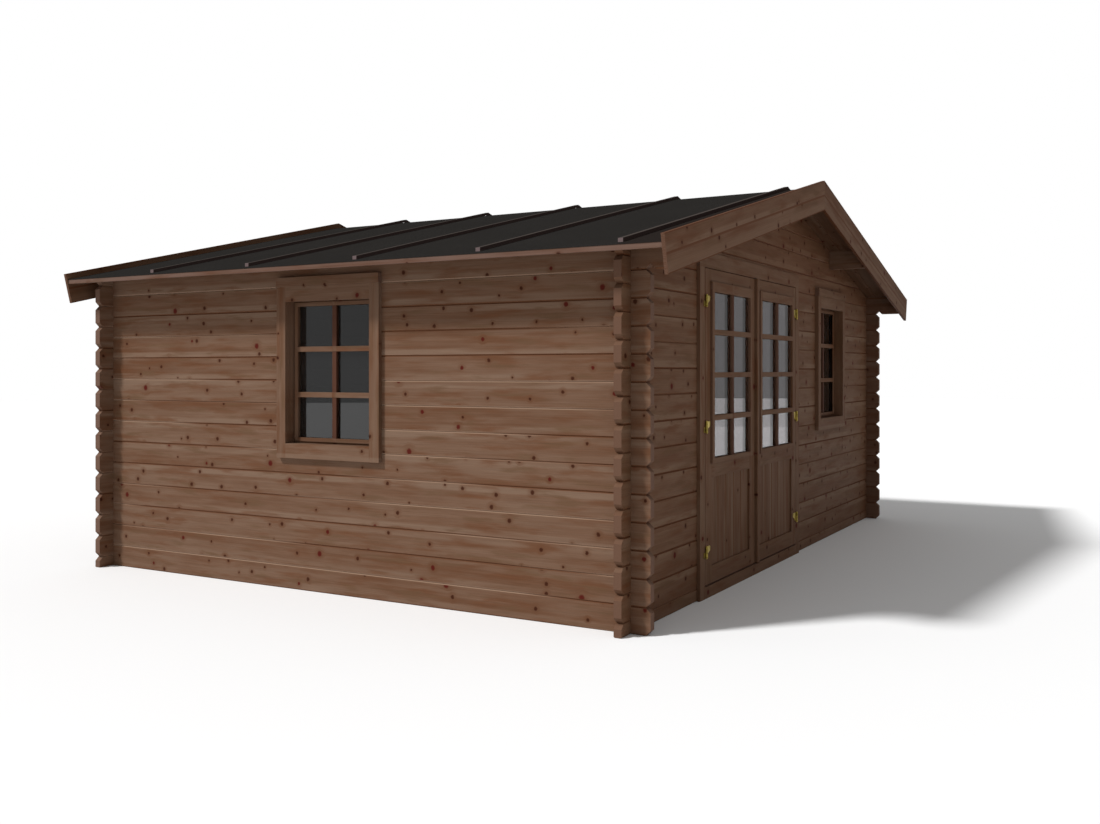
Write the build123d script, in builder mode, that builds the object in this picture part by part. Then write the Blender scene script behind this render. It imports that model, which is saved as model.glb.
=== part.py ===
import math
import os

from build123d import *

# Log cabin shed. Millimetres, +Z up, front gable facing -Y, origin under the middle of the roof.

# Walls of interlocking logs
wall_width = 5040  # outside of the left wall to outside of the right wall
wall_depth = 4000  # outside of the front wall to outside of the back wall
side_log_count = 14
log_height = 143
log_thickness = 44
log_gap = 0.3  # play between neighbouring logs and in every notch
log_groove = 5  # bevel along each log edge, two of which make a V joint
log_end_length = 110  # log end past the wall that it crosses
log_end_bevel = 28
notch_share = 0.25  # of the log height, cut from above and from below at a crossing
half_log_share = 0.5  # the front and back walls start with this much of a log

# Roof
roof_pitch = 13.65  # degrees
eave_overhang = 240
front_overhang = 300
back_overhang = 130
roof_board_thickness = 18
felt_thickness = 3
eave_strip_height = 27
eave_strip_thickness = 20
ridge_flat = 60  # to each side of the ridge the boards are planed level under the felt
batten_count = 5
batten_width = 28
batten_height = 20
batten_eave_setback = 70
batten_front_setback = 256
batten_spacing = 847
barge_height = 200
barge_thickness = 20
barge_rise = 40  # top edge above the felt, measured plumb
barge_reach = 20  # past the eave strip
purlin_width = 58
purlin_height = 140
side_purlin_offset = 1260

# Floor
floor_thickness = 19
bearer_height = 40
bearer_width = 60
bearer_count = 5
bearer_place_share = 0.5  # of its bay

# Double door, hinged outside
door_center = -653
door_meeting_offset = -15  # the leaf with the cover strip is the wider one
leaf_top = 1950
leaf_bottom = 75
leaf_thickness = 42
leaf_gap = 5
meeting_gap = 7
door_clear_width = 1789
casing_width = 80
casing_thickness = 20
jamb_thickness = 40
stop_lap = 12
threshold_height = 70
head_casing_height = 92
stile_width = 98
top_rail_height = 134
middle_rail_top = 823
middle_rail_height = 114
bottom_rail_height = 108
panel_thickness = 20
panel_recess = 11
glass_thickness = 4
door_glass_recess = 4
cover_strip_width = 40
cover_strip_depth = 20
cover_strip_bevel = 4
hinge_height_shares = (0.107, 0.5, 0.897)  # of the leaf height
hinge_radius = 8
hinge_length = 66
hinge_pin_radius = 4
hinge_pin_length = 20
hinge_play = 0.3
hinge_plate_width = 26
hinge_plate_thickness = 3
hinge_standoff = 0.5

# Windows: one unit, used in the left wall and in the front wall
side_window_center = 8  # along the wall, from its middle
front_window_center = 1215
window_log_count = 7
window_sill_log_count = 6  # whole logs under the cut
window_cut_width = 700
window_casing_thickness = 28
window_casing_lap = 50  # over the logs beside and under the cut
window_side_board = 72
window_bottom_board = 90
window_head_board = 91
window_head_cap = 58
window_cap_extra = 6
window_lining_thickness = 22
window_sill_thickness = 40
window_lining_depth = 110
window_settling_gap = 43
sash_setback = 53
sash_member = 34
sash_thickness = 36
sash_play = 0.4
sash_glass_setback = 66

cut_overrun = 20  # every cut runs this far past what it cuts

# Places worked out from the sizes
half_width = wall_width / 2
wall_shift = (front_overhang - back_overhang) / 2
front_face = wall_shift - wall_depth / 2
back_face = wall_shift + wall_depth / 2
side_line = half_width - log_thickness / 2
front_line = front_face + log_thickness / 2
back_line = back_face - log_thickness / 2
inner_half_width = half_width - log_thickness
inner_front = front_face + log_thickness
inner_back = back_face - log_thickness
log_front_end = front_face - log_end_length
log_back_end = back_face + log_end_length
log_side_end = half_width + log_end_length
half_log = log_height * half_log_share
bevel_square = log_end_bevel * math.sqrt(2)  # side of the turned square that cuts a bevel
wall_top = side_log_count * log_height
lintel_bottom = half_log + (side_log_count - 1) * log_height
gable_bottom = lintel_bottom + log_height

roof_slope = math.tan(math.radians(roof_pitch))
plumb_share = 1 / math.cos(math.radians(roof_pitch))  # plumb height of a slab, per thickness
roof_front = front_face - front_overhang
roof_back = back_face + back_overhang
boards_front = roof_front + barge_thickness
boards_back = roof_back - barge_thickness
boards_length = boards_back - boards_front
boards_edge = half_width + eave_overhang - eave_strip_thickness
felt_edge = half_width + eave_overhang
barge_edge = felt_edge + barge_reach
roof_peak = wall_top + half_width * roof_slope


def roof_height(x, lift=0):
    """Height of the roof boards' underside over x, or of a plane that lies lift above it."""
    return wall_top + (half_width - abs(x)) * roof_slope + lift * plumb_share


def log_levels(bottom, count):
    """Bottom and top of each log in a stack."""
    return [
        (bottom + row * log_height, bottom + (row + 1) * log_height - log_gap)
        for row in range(count)
    ]


def log_sections(plane, across, levels):
    """Sections of a stack of logs, grooved along their edges."""
    with BuildSketch(plane) as sections:
        for low, high in levels:
            with Locations((across, (low + high) / 2)):
                Rectangle(log_thickness, high - low)
        chamfer(sections.vertices(), log_groove)
    return sections.sketch


def corner_cuts(plane, crossings, notch_joints, ends, bevel_joints):
    """Elevation of the notches at the wall crossings and of the bevels on the log ends."""
    with BuildSketch(plane) as cuts:
        with Locations(*[(x, z) for x in crossings for z in notch_joints]):
            Rectangle(log_thickness + 2 * log_gap, 2 * log_height * notch_share + log_gap)
        with Locations(*[(x, z) for x in ends for z in bevel_joints]):
            Rectangle(bevel_square, bevel_square, rotation=45)
    return cuts.sketch


def polygon(plane, points):
    """A flat closed outline on a plane."""
    with BuildSketch(plane) as outline:
        with BuildLine():
            Polyline(*points, close=True)
        make_face()
    return outline.sketch


def rectangles(plane, boxes):
    """Rectangles on a plane, each given as left, bottom, right, top."""
    with BuildSketch(plane) as outline:
        for left, bottom, right, top in boxes:
            with Locations(((left + right) / 2, (bottom + top) / 2)):
                Rectangle(right - left, top - bottom)
    return outline.sketch


def save(builder, name):
    """Label a finished piece and write it."""
    builder.part.label = name
    export_step(builder.part, f"parts/{name}.step")


def front_plane(y):
    """Elevation plane seen from the front, X to the right and Z up, extruding towards -Y."""
    return Plane.XZ.offset(-y)


def side_plane(x):
    """Elevation plane with Y along it and Z up, extruding towards +X."""
    return Plane.YZ.offset(x)


os.makedirs("parts", exist_ok=True)

# Side walls, whose top log carries the roof and runs on to the bargeboards
side_joints = [row * log_height - log_gap / 2 for row in range(side_log_count + 1)]
side_levels = log_levels(0, side_log_count - 1)
side_log_length = log_back_end - log_front_end
window_cut_height = window_log_count * log_height
side_window_y = wall_shift + side_window_center
side_window_bottom = window_sill_log_count * log_height
top_log_bottom = (side_log_count - 1) * log_height

for side, name in ((-1, "left_wall_logs"), (1, "right_wall_logs")):
    with BuildPart() as side_wall:
        extrude(
            log_sections(front_plane(log_back_end), side * side_line, side_levels),
            amount=side_log_length,
        )
        outer, inner = side * half_width, side * inner_half_width
        with BuildSketch(front_plane(boards_back)) as top_log:
            with BuildLine():
                Polyline(
                    (outer, top_log_bottom),
                    (inner, top_log_bottom),
                    (inner, roof_height(inner) - log_gap),
                    (outer, roof_height(outer) - log_gap),
                    close=True,
                )
            make_face()
            chamfer(top_log.vertices().group_by(Axis.Y)[0], log_groove)
        extrude(amount=boards_length)
        extrude(
            corner_cuts(
                side_plane(side * side_line),
                (front_line, back_line),
                side_joints,
                (log_front_end, log_back_end),
                side_joints[:-1],
            ),
            amount=log_thickness,
            both=True,
            mode=Mode.SUBTRACT,
        )
        if side < 0:
            window_left = side_window_y - window_cut_width / 2
            window_low = side_window_bottom - log_gap / 2
            extrude(
                rectangles(
                    side_plane(side * side_line),
                    [(window_left, window_low, window_left + window_cut_width,
                      window_low + window_cut_height)],
                ),
                amount=log_thickness,
                both=True,
                mode=Mode.SUBTRACT,
            )
    save(side_wall, name)

# Front and back walls start with half a log, so that their logs lock between those of the sides
cross_joints = [half_log + row * log_height - log_gap / 2 for row in range(side_log_count)]
cross_levels = [(0, half_log - log_gap)] + log_levels(half_log, side_log_count - 1)
cross_log_length = 2 * log_side_end


def cross_corners(y):
    """Cuts at both corners of a front or back wall."""
    return corner_cuts(
        front_plane(y),
        (-side_line, side_line),
        cross_joints,
        (-log_side_end, log_side_end),
        cross_joints,
    )


with BuildPart() as back_wall_logs:
    extrude(log_sections(side_plane(-log_side_end), back_line, cross_levels), amount=cross_log_length)
    extrude(cross_corners(back_line), amount=log_thickness, both=True, mode=Mode.SUBTRACT)
save(back_wall_logs, "back_wall_logs")

door_left = door_center - door_clear_width / 2
door_right = door_center + door_clear_width / 2
door_logs_left = door_left - jamb_thickness
door_logs_right = door_right + jamb_thickness
front_window_bottom = half_log + window_sill_log_count * log_height

with BuildPart() as front_wall_left_logs:
    extrude(
        log_sections(side_plane(-log_side_end), front_line, cross_levels),
        amount=log_side_end + door_logs_left - log_gap,
    )
    extrude(cross_corners(front_line), amount=log_thickness, both=True, mode=Mode.SUBTRACT)
save(front_wall_left_logs, "front_wall_left_logs")

with BuildPart() as front_wall_right_logs:
    extrude(
        log_sections(side_plane(door_logs_right + log_gap), front_line, cross_levels),
        amount=log_side_end - door_logs_right - log_gap,
    )
    extrude(cross_corners(front_line), amount=log_thickness, both=True, mode=Mode.SUBTRACT)
    window_left = front_window_center - window_cut_width / 2
    window_low = front_window_bottom - log_gap / 2
    extrude(
        rectangles(
            front_plane(front_line),
            [(window_left, window_low, window_left + window_cut_width, window_low + window_cut_height)],
        ),
        amount=log_thickness,
        both=True,
        mode=Mode.SUBTRACT,
    )
save(front_wall_right_logs, "front_wall_right_logs")

# Gables: the log over the door and window, then logs cut to the roof and let in for the purlins
gable_log_count = math.ceil((roof_peak - gable_bottom) / log_height)
gable_levels = log_levels(lintel_bottom, gable_log_count + 1)
head_bottom = leaf_top + leaf_gap
head_top = head_bottom + jamb_thickness
purlin_half = purlin_width / 2

for gable_line, name in ((front_line, "front_gable_logs"), (back_line, "back_gable_logs")):
    with BuildPart() as gable:
        extrude(log_sections(side_plane(-log_side_end), gable_line, gable_levels), amount=cross_log_length)
        above = roof_peak + purlin_height
        over_roof = [
            (-log_side_end - cut_overrun, roof_height(log_side_end + cut_overrun) - log_gap),
            (0, roof_peak - log_gap),
            (log_side_end + cut_overrun, roof_height(log_side_end + cut_overrun) - log_gap),
            (log_side_end + cut_overrun, above),
            (-log_side_end - cut_overrun, above),
        ]
        extrude(
            polygon(front_plane(gable_line), over_roof),
            amount=log_thickness,
            both=True,
            mode=Mode.SUBTRACT,
        )
        extrude(cross_corners(gable_line), amount=log_thickness, both=True, mode=Mode.SUBTRACT)
        slot_half = purlin_half + log_gap
        purlin_slots = [
            (x - slot_half, roof_height(x) - purlin_height - log_gap, x + slot_half, above)
            for x in (-side_purlin_offset, 0, side_purlin_offset)
        ]
        if gable_line == front_line:
            purlin_slots.append((door_logs_left, 0, door_logs_right, head_top + log_gap))
        extrude(
            rectangles(front_plane(gable_line), purlin_slots),
            amount=log_thickness,
            both=True,
            mode=Mode.SUBTRACT,
        )
    save(gable, name)

# Purlins, topped to the roof pitch, from bargeboard to bargeboard
with BuildPart() as roof_purlins:
    for x in (-side_purlin_offset, 0, side_purlin_offset):
        left, right = x - purlin_half, x + purlin_half
        foot = roof_height(x) - purlin_height
        top_points = [(right, roof_height(right) - log_gap), (left, roof_height(left) - log_gap)]
        if x == 0:
            top_points.insert(1, (0, roof_peak - log_gap))
        extrude(
            polygon(front_plane(boards_back), [(left, foot), (right, foot)] + top_points),
            amount=boards_length,
        )
save(roof_purlins, "roof_purlins")

# Roof slopes
for side, name in ((-1, "left"), (1, "right")):
    ridge = side * log_gap / 2
    edge = side * boards_edge
    strip_edge = side * felt_edge
    board_top = roof_board_thickness
    felt_top = roof_board_thickness + felt_thickness
    with BuildPart() as roof_boards:
        extrude(
            polygon(
                front_plane(boards_back),
                [
                    (ridge, roof_height(ridge)),
                    (ridge, roof_height(ridge_flat, board_top)),
                    (side * ridge_flat, roof_height(ridge_flat, board_top)),
                    (edge, roof_height(edge, board_top)),
                    (edge, roof_height(edge)),
                ],
            ),
            amount=boards_length,
        )
    save(roof_boards, f"{name}_roof_boards")

    with BuildPart() as eave_strip:
        strip_foot = roof_height(strip_edge, board_top) - eave_strip_height
        extrude(
            polygon(
                front_plane(boards_back),
                [
                    (edge, roof_height(edge, board_top)),
                    (strip_edge, roof_height(strip_edge, board_top)),
                    (strip_edge, strip_foot),
                    (edge, strip_foot),
                ],
            ),
            amount=boards_length,
        )
    save(eave_strip, f"{name}_eave_strip")

    with BuildPart() as roof_battens:
        foot = side * (felt_edge - batten_eave_setback)
        batten_top = felt_top + batten_height
        outline = [
            (ridge, roof_height(ridge, felt_top)),
            (ridge, roof_height(ridge, batten_top)),
            (foot, roof_height(foot, batten_top)),
            (foot, roof_height(foot, felt_top)),
        ]
        for row in range(batten_count):
            batten_back = boards_front + batten_front_setback + row * batten_spacing + batten_width / 2
            extrude(polygon(front_plane(batten_back), outline), amount=batten_width)
    save(roof_battens, f"{name}_roof_battens")

    barge_top_lift = felt_top + barge_rise / plumb_share
    barge_foot_lift = barge_top_lift - barge_height
    end = side * barge_edge
    end_shift = side * barge_height * math.sin(math.radians(roof_pitch))
    for place, face in (("front", boards_front), ("back", roof_back)):
        with BuildPart() as bargeboard:
            extrude(
                polygon(
                    front_plane(face),
                    [
                        (ridge, roof_height(ridge, barge_top_lift)),
                        (end, roof_height(end, barge_top_lift)),
                        (end - end_shift, roof_height(end - end_shift, barge_foot_lift)),
                        (ridge, roof_height(ridge, barge_foot_lift)),
                    ],
                ),
                amount=barge_thickness,
            )
        save(bargeboard, f"{place}_{name}_bargeboard")

with BuildPart() as roof_felt:
    low, high = roof_board_thickness, roof_board_thickness + felt_thickness
    extrude(
        polygon(
            front_plane(boards_back),
            [
                (-felt_edge, roof_height(felt_edge, low)),
                (-ridge_flat, roof_height(ridge_flat, low)),
                (ridge_flat, roof_height(ridge_flat, low)),
                (felt_edge, roof_height(felt_edge, low)),
                (felt_edge, roof_height(felt_edge, high)),
                (ridge_flat, roof_height(ridge_flat, high)),
                (-ridge_flat, roof_height(ridge_flat, high)),
                (-felt_edge, roof_height(felt_edge, high)),
            ],
        ),
        amount=boards_length,
    )
save(roof_felt, "roof_felt")

# Door frame: grooved jambs take the log ends, with a casing inside and outside and a stop
casing_front = front_face - casing_thickness
casing_back = inner_front + casing_thickness
casing_left = door_left - casing_width
casing_right = door_right + casing_width
stop_front = casing_front + leaf_thickness + leaf_gap

for side, opening, logs, outer, name in (
    (1, door_left, door_logs_left, casing_left, "door_left_jamb"),
    (-1, door_right, door_logs_right, casing_right, "door_right_jamb"),
):
    stop_edge = opening + side * stop_lap
    with BuildPart() as jamb:
        extrude(
            polygon(
                Plane.XY,
                [
                    (outer, casing_front),
                    (opening, casing_front),
                    (opening, stop_front),
                    (stop_edge, stop_front),
                    (stop_edge, casing_back),
                    (outer, casing_back),
                    (outer, inner_front + log_gap),
                    (logs, inner_front + log_gap),
                    (logs, front_face - log_gap),
                    (outer, front_face - log_gap),
                ],
            ),
            amount=head_bottom,
        )
    save(jamb, name)

with BuildPart() as door_head:
    casing_top = head_bottom + head_casing_height
    extrude(
        polygon(
            side_plane(casing_left),
            [
                (casing_front, head_bottom),
                (casing_back, head_bottom),
                (casing_back, casing_top),
                (inner_front + log_gap, casing_top),
                (inner_front + log_gap, head_top),
                (front_face - log_gap, head_top),
                (front_face - log_gap, casing_top),
                (casing_front, casing_top),
            ],
        ),
        amount=casing_right - casing_left,
    )
    with BuildSketch(Plane.XY.offset(head_bottom)):
        left_seat = (casing_left + door_logs_left) / 2
        right_seat = (casing_right + door_logs_right) / 2
        with Locations((left_seat, front_line), (right_seat, front_line)):
            Rectangle(casing_width - jamb_thickness, log_thickness + 2 * log_gap)
    extrude(amount=jamb_thickness, mode=Mode.SUBTRACT)
    with BuildSketch(Plane.XY.offset(head_bottom)):
        with Locations((door_center, (stop_front + casing_back) / 2)):
            Rectangle(door_clear_width - 2 * stop_lap - 2 * log_gap, casing_back - stop_front)
    extrude(amount=-stop_lap)
save(door_head, "door_head")

with BuildPart() as door_threshold:
    extrude(
        rectangles(side_plane(door_left), [(casing_front, 0, stop_front, threshold_height)]),
        amount=door_clear_width,
    )
    extrude(
        rectangles(side_plane(door_left + stop_lap), [(stop_front, 0, casing_back, threshold_height)]),
        amount=door_clear_width - 2 * stop_lap,
    )
save(door_threshold, "door_threshold")

# Door leaves
leaf_meeting = door_center + door_meeting_offset
leaf_front = casing_front
leaf_back = leaf_front + leaf_thickness
leaf_height = leaf_top - leaf_bottom
top_rail_bottom = leaf_top - top_rail_height
bottom_rail_top = leaf_bottom + bottom_rail_height
middle_rail_bottom = middle_rail_top - middle_rail_height
hinge_line = leaf_front - hinge_radius - hinge_standoff
hinge_half = hinge_length / 2
plate_line = leaf_front - hinge_plate_thickness / 2


def hinge_halves(axis_x, plate_side, upper):
    """Three hinge halves on one axis: the upper ones turn with the leaf, the lower ones hold the pin."""
    direction = 1 if upper else -1
    with BuildPart() as halves:
        for share in hinge_height_shares:
            seat = leaf_bottom + share * leaf_height + direction * hinge_play / 2
            with BuildSketch(Plane.XY.offset(seat)):
                with Locations((axis_x, hinge_line)):
                    Circle(hinge_radius)
                with Locations((axis_x + plate_side * hinge_plate_width / 2, plate_line)):
                    Rectangle(hinge_plate_width, hinge_plate_thickness)
            extrude(amount=direction * hinge_half)
            with BuildSketch(Plane.XY.offset(seat)):
                with Locations((axis_x, hinge_line)):
                    Circle(hinge_pin_radius + (hinge_play if upper else 0))
            if upper:
                extrude(amount=hinge_pin_length + hinge_play, mode=Mode.SUBTRACT)
            else:
                extrude(amount=hinge_pin_length)
    return halves


for name, left, right, hinge_side in (
    ("left_door", door_left + leaf_gap, leaf_meeting - meeting_gap / 2, -1),
    ("right_door", leaf_meeting + meeting_gap / 2, door_right - leaf_gap, 1),
):
    inner_left, inner_right = left + stile_width, right - stile_width
    with BuildPart() as stiles:
        extrude(
            rectangles(
                front_plane(leaf_back),
                [(left, leaf_bottom, inner_left, leaf_top), (inner_right, leaf_bottom, right, leaf_top)],
            ),
            amount=leaf_thickness,
        )
    save(stiles, f"{name}_stiles")

    with BuildPart() as rails:
        extrude(
            rectangles(
                front_plane(leaf_back),
                [
                    (inner_left, top_rail_bottom, inner_right, leaf_top),
                    (inner_left, middle_rail_bottom, inner_right, middle_rail_top),
                    (inner_left, leaf_bottom, inner_right, bottom_rail_top),
                ],
            ),
            amount=leaf_thickness,
        )
    save(rails, f"{name}_rails")

    with BuildPart() as panel:
        extrude(
            rectangles(
                front_plane(leaf_front + panel_recess + panel_thickness),
                [(inner_left, bottom_rail_top, inner_right, middle_rail_bottom)],
            ),
            amount=panel_thickness,
        )
    save(panel, f"{name}_panel")

    with BuildPart() as glass:
        extrude(
            rectangles(
                front_plane(leaf_front + door_glass_recess + glass_thickness),
                [(inner_left, middle_rail_top, inner_right, top_rail_bottom)],
            ),
            amount=glass_thickness,
        )
    save(glass, f"{name}_glass")

    hinge_x = (left if hinge_side < 0 else right) + hinge_side * leaf_gap / 2
    save(hinge_halves(hinge_x, -hinge_side, True), f"{name}_hinge_knuckles")
    save(hinge_halves(hinge_x, hinge_side, False), f"{name}_hinge_pins")

with BuildPart() as right_door_cover_strip:
    strip_left = leaf_meeting + meeting_gap / 2
    strip_right = strip_left + cover_strip_width
    extrude(
        rectangles(front_plane(leaf_front), [(strip_left, leaf_bottom, strip_right, leaf_top)]),
        amount=cover_strip_depth,
    )
    front_edges = right_door_cover_strip.faces().sort_by(Axis.Y)[0].edges().filter_by(Axis.Z)
    chamfer(front_edges, cover_strip_bevel)
save(right_door_cover_strip, "right_door_cover_strip")

# Windows: casing over the logs, lining in the cut, and a fixed sash near the inside
window_half = window_cut_width / 2 - log_gap
casing_half = window_cut_width / 2 + window_casing_lap
board_edge = casing_half - window_side_board
casing_foot = -window_casing_lap
lining_top = window_cut_height - window_settling_gap
lining_inner = window_half - window_lining_thickness
sash_half = lining_inner - sash_play
sash_bottom = window_sill_thickness + sash_play
sash_top = lining_top - window_sill_thickness - sash_play
cap_bottom = window_cut_height
head_foot = cap_bottom - window_head_board

side_origin = (-half_width, side_window_y, side_window_bottom)
front_origin = (front_window_center, front_face, front_window_bottom)

for name, outside in (
    ("side_window", Plane(side_origin, x_dir=(0, -1, 0), z_dir=(-1, 0, 0))),
    ("front_window", Plane(front_origin, x_dir=(1, 0, 0), z_dir=(0, -1, 0))),
):
    with BuildPart() as casing:
        extrude(
            rectangles(
                outside,
                [
                    (-casing_half, casing_foot, -board_edge - log_gap, cap_bottom - log_gap),
                    (board_edge + log_gap, casing_foot, casing_half, cap_bottom - log_gap),
                    (-board_edge, casing_foot, board_edge, casing_foot + window_bottom_board),
                    (-board_edge, head_foot, board_edge, cap_bottom - log_gap),
                ],
            ),
            amount=window_casing_thickness,
        )
        extrude(
            rectangles(outside, [(-casing_half, cap_bottom, casing_half, cap_bottom + window_head_cap)]),
            amount=window_casing_thickness + window_cap_extra,
        )
    save(casing, f"{name}_casing")

    with BuildPart() as lining:
        extrude(
            rectangles(
                outside,
                [
                    (-window_half, 0, window_half, window_sill_thickness),
                    (-window_half, lining_top - window_sill_thickness, window_half, lining_top),
                    (-window_half, window_sill_thickness + log_gap, -lining_inner,
                     lining_top - window_sill_thickness - log_gap),
                    (lining_inner, window_sill_thickness + log_gap, window_half,
                     lining_top - window_sill_thickness - log_gap),
                ],
            ),
            amount=-window_lining_depth,
        )
    save(lining, f"{name}_lining")

    with BuildPart() as sash:
        extrude(
            rectangles(
                outside.offset(-sash_setback),
                [
                    (-sash_half, sash_bottom, -sash_half + sash_member, sash_top),
                    (sash_half - sash_member, sash_bottom, sash_half, sash_top),
                    (-sash_half + sash_member + log_gap, sash_bottom,
                     sash_half - sash_member - log_gap, sash_bottom + sash_member),
                    (-sash_half + sash_member + log_gap, sash_top - sash_member,
                     sash_half - sash_member - log_gap, sash_top),
                ],
            ),
            amount=-sash_thickness,
        )
    save(sash, f"{name}_sash")

    with BuildPart() as pane:
        extrude(
            rectangles(
                outside.offset(-sash_glass_setback),
                [(-sash_half + sash_member, sash_bottom + sash_member,
                  sash_half - sash_member, sash_top - sash_member)],
            ),
            amount=-glass_thickness,
        )
    save(pane, f"{name}_glass")

# Floor on bearers, let in round the door frame
floor_half = inner_half_width - log_gap
floor_front = inner_front + log_gap
floor_back = inner_back - log_gap
floor_depth = floor_back - floor_front

with BuildPart() as floor_bearers:
    bearer_step = floor_depth / bearer_count
    bearer_rows = [floor_front + (row + bearer_place_share) * bearer_step for row in range(bearer_count)]
    with BuildSketch(Plane.XY):
        with Locations(*[(0, y) for y in bearer_rows]):
            Rectangle(2 * floor_half, bearer_width)
    extrude(amount=bearer_height)
save(floor_bearers, "floor_bearers")

with BuildPart() as floor_boards:
    extrude(
        rectangles(Plane.XY.offset(bearer_height), [(-floor_half, floor_front, floor_half, floor_back)]),
        amount=floor_thickness,
    )
    notch_front, notch_back = floor_front - cut_overrun, casing_back + log_gap
    extrude(
        rectangles(
            Plane.XY.offset(bearer_height),
            [(casing_left - log_gap, notch_front, casing_right + log_gap, notch_back)],
        ),
        amount=floor_thickness,
        mode=Mode.SUBTRACT,
    )
save(floor_boards, "floor_boards")
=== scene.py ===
import math

import bpy
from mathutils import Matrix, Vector


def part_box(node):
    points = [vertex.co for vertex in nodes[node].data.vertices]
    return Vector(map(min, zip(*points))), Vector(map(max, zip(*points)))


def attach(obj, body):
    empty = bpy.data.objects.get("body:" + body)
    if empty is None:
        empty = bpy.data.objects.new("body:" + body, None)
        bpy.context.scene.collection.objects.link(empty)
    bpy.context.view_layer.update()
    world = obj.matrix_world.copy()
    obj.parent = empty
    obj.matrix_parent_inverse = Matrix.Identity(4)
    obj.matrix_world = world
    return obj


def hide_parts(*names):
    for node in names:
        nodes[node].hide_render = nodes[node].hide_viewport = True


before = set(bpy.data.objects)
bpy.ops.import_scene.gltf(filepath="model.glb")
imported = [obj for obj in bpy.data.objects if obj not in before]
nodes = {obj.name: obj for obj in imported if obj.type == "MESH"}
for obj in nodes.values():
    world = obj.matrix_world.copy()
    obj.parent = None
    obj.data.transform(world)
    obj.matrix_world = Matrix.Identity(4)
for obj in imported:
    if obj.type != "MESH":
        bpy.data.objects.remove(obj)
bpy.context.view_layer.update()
scene = bpy.context.scene
scene.view_settings.view_transform = "Standard"
print("frame loaded,", len(nodes), "pieces")


class Wire:
    # one shader socket, so that shader maths reads as a sum
    def __init__(self, tree, socket):
        self.tree = tree
        self.socket = socket

    def node(self, kind, settings=None, inputs=None, out=0):
        made = self.tree.nodes.new(kind)
        for key, value in (settings or {}).items():
            if key == "stops":  # colours of a ramp from 0 to 1
                for position, colour in value[1:-1]:
                    made.color_ramp.elements.new(position).color = colour
                made.color_ramp.elements[0].color = value[0][1]
                made.color_ramp.elements[len(value) - 1].color = value[-1][1]
            else:
                setattr(made, key, value)
        for key, value in (inputs or {}).items():
            if isinstance(value, Wire):
                self.tree.links.new(value.socket, made.inputs[key])
            else:
                made.inputs[key].default_value = value
        return Wire(self.tree, made.outputs[out])

    def other(self, out):  # another output of the same node
        return Wire(self.tree, self.socket.node.outputs[out])

    def math(self, operation, *values):
        return self.node("ShaderNodeMath", {"operation": operation}, dict(enumerate(values)))

    def feed(self, socket):
        self.tree.links.new(self.socket, socket)

    def __add__(self, value):
        return self.math("ADD", self, value)

    def __sub__(self, value):
        return self.math("SUBTRACT", self, value)

    def __rsub__(self, value):
        return self.math("SUBTRACT", value, self)

    def __mul__(self, value):
        return self.math("MULTIPLY", self, value)

    def __truediv__(self, value):
        return self.math("DIVIDE", self, value)

    def __gt__(self, value):
        return self.math("GREATER_THAN", self, value)

    def __lt__(self, value):
        return self.math("LESS_THAN", self, value)

    def __abs__(self):
        return self.math("ABSOLUTE", self)

    __radd__ = __add__
    __rmul__ = __mul__


def fade(value, start, end):  # 0 at start, 1 at end
    return value.node("ShaderNodeMapRange", {"interpolation_type": "SMOOTHSTEP"},
                      {"Value": value, "From Min": start, "From Max": end})


def tint(first, second, share):
    return share.node("ShaderNodeMix", {"data_type": "RGBA"}, {0: share, 6: first, 7: second}, 2)


def join3(first, second, third):
    return first.node("ShaderNodeCombineXYZ", {}, {0: first, 1: second, 2: third})


def split3(vector):
    first = vector.node("ShaderNodeSeparateXYZ", {}, {0: vector})
    return first, first.other(1), first.other(2)


def cloud(spot, scales, detail=2.0, rough=0.5):
    stretched = spot.node("ShaderNodeVectorMath", {"operation": "MULTIPLY"}, {0: spot, 1: scales})
    return spot.node("ShaderNodeTexNoise", {}, {"Vector": stretched, "Scale": 1.0, "Detail": detail,
                                                "Roughness": rough})


def newFinish(name):
    finish = bpy.data.materials.new(name)
    finish.use_nodes = True
    tree = finish.node_tree
    spot = Wire(tree, tree.nodes.new("ShaderNodeTexCoord").outputs["Object"])
    return finish, tree.nodes["Principled BSDF"], spot


def dress(finish, *names):  # gives CAD pieces their finish
    for name in names:
        slots = nodes[name].material_slots
        if not slots:
            nodes[name].data.materials.append(finish)
        for slot in slots:
            slot.material = finish


# camera as the photo was taken, level, with the frame slid down a little
viewpoint = {
    "place": (-7.4909, -4.2796, 1.3430),
    "turn": (90.0, 0.0, -60.367),
    "lens": 35.205,
    "sensor": 36.0,
    "shift": (-0.0018, -0.0373),
}

bpy.ops.object.select_all(action="DESELECT")
bpy.ops.object.camera_add(location=viewpoint["place"], rotation=[math.radians(a) for a in viewpoint["turn"]])
camera = bpy.context.object
camera.name = "viewCamera"
camera.data.sensor_width = viewpoint["sensor"]
camera.data.lens = viewpoint["lens"]
camera.data.shift_x, camera.data.shift_y = viewpoint["shift"]
scene.camera = camera
print("camera set")

# a pale floor, one soft sun and an even sky
studio = {
    "floorRadius": 44.0,
    "floorSides": 96,
    "floorMiddle": (2.3, -1.0, -0.0006),
    "floorTone": (0.845, 0.845, 0.845, 1),
    "farTone": (0.66, 0.66, 0.66, 1),  # the floor's far ring, as panes mirror it
    "farFrom": 16.7,
    "sunTravel": (0.502, -0.432, -0.749),
    "sunStrength": 3.35,
    "sunAngle": 7.5,
    "skyTone": 0.42,
    "mirroredSky": 0.335,  # what panes and brass see above the floor
    "backdrop": 1.0,
}

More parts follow.
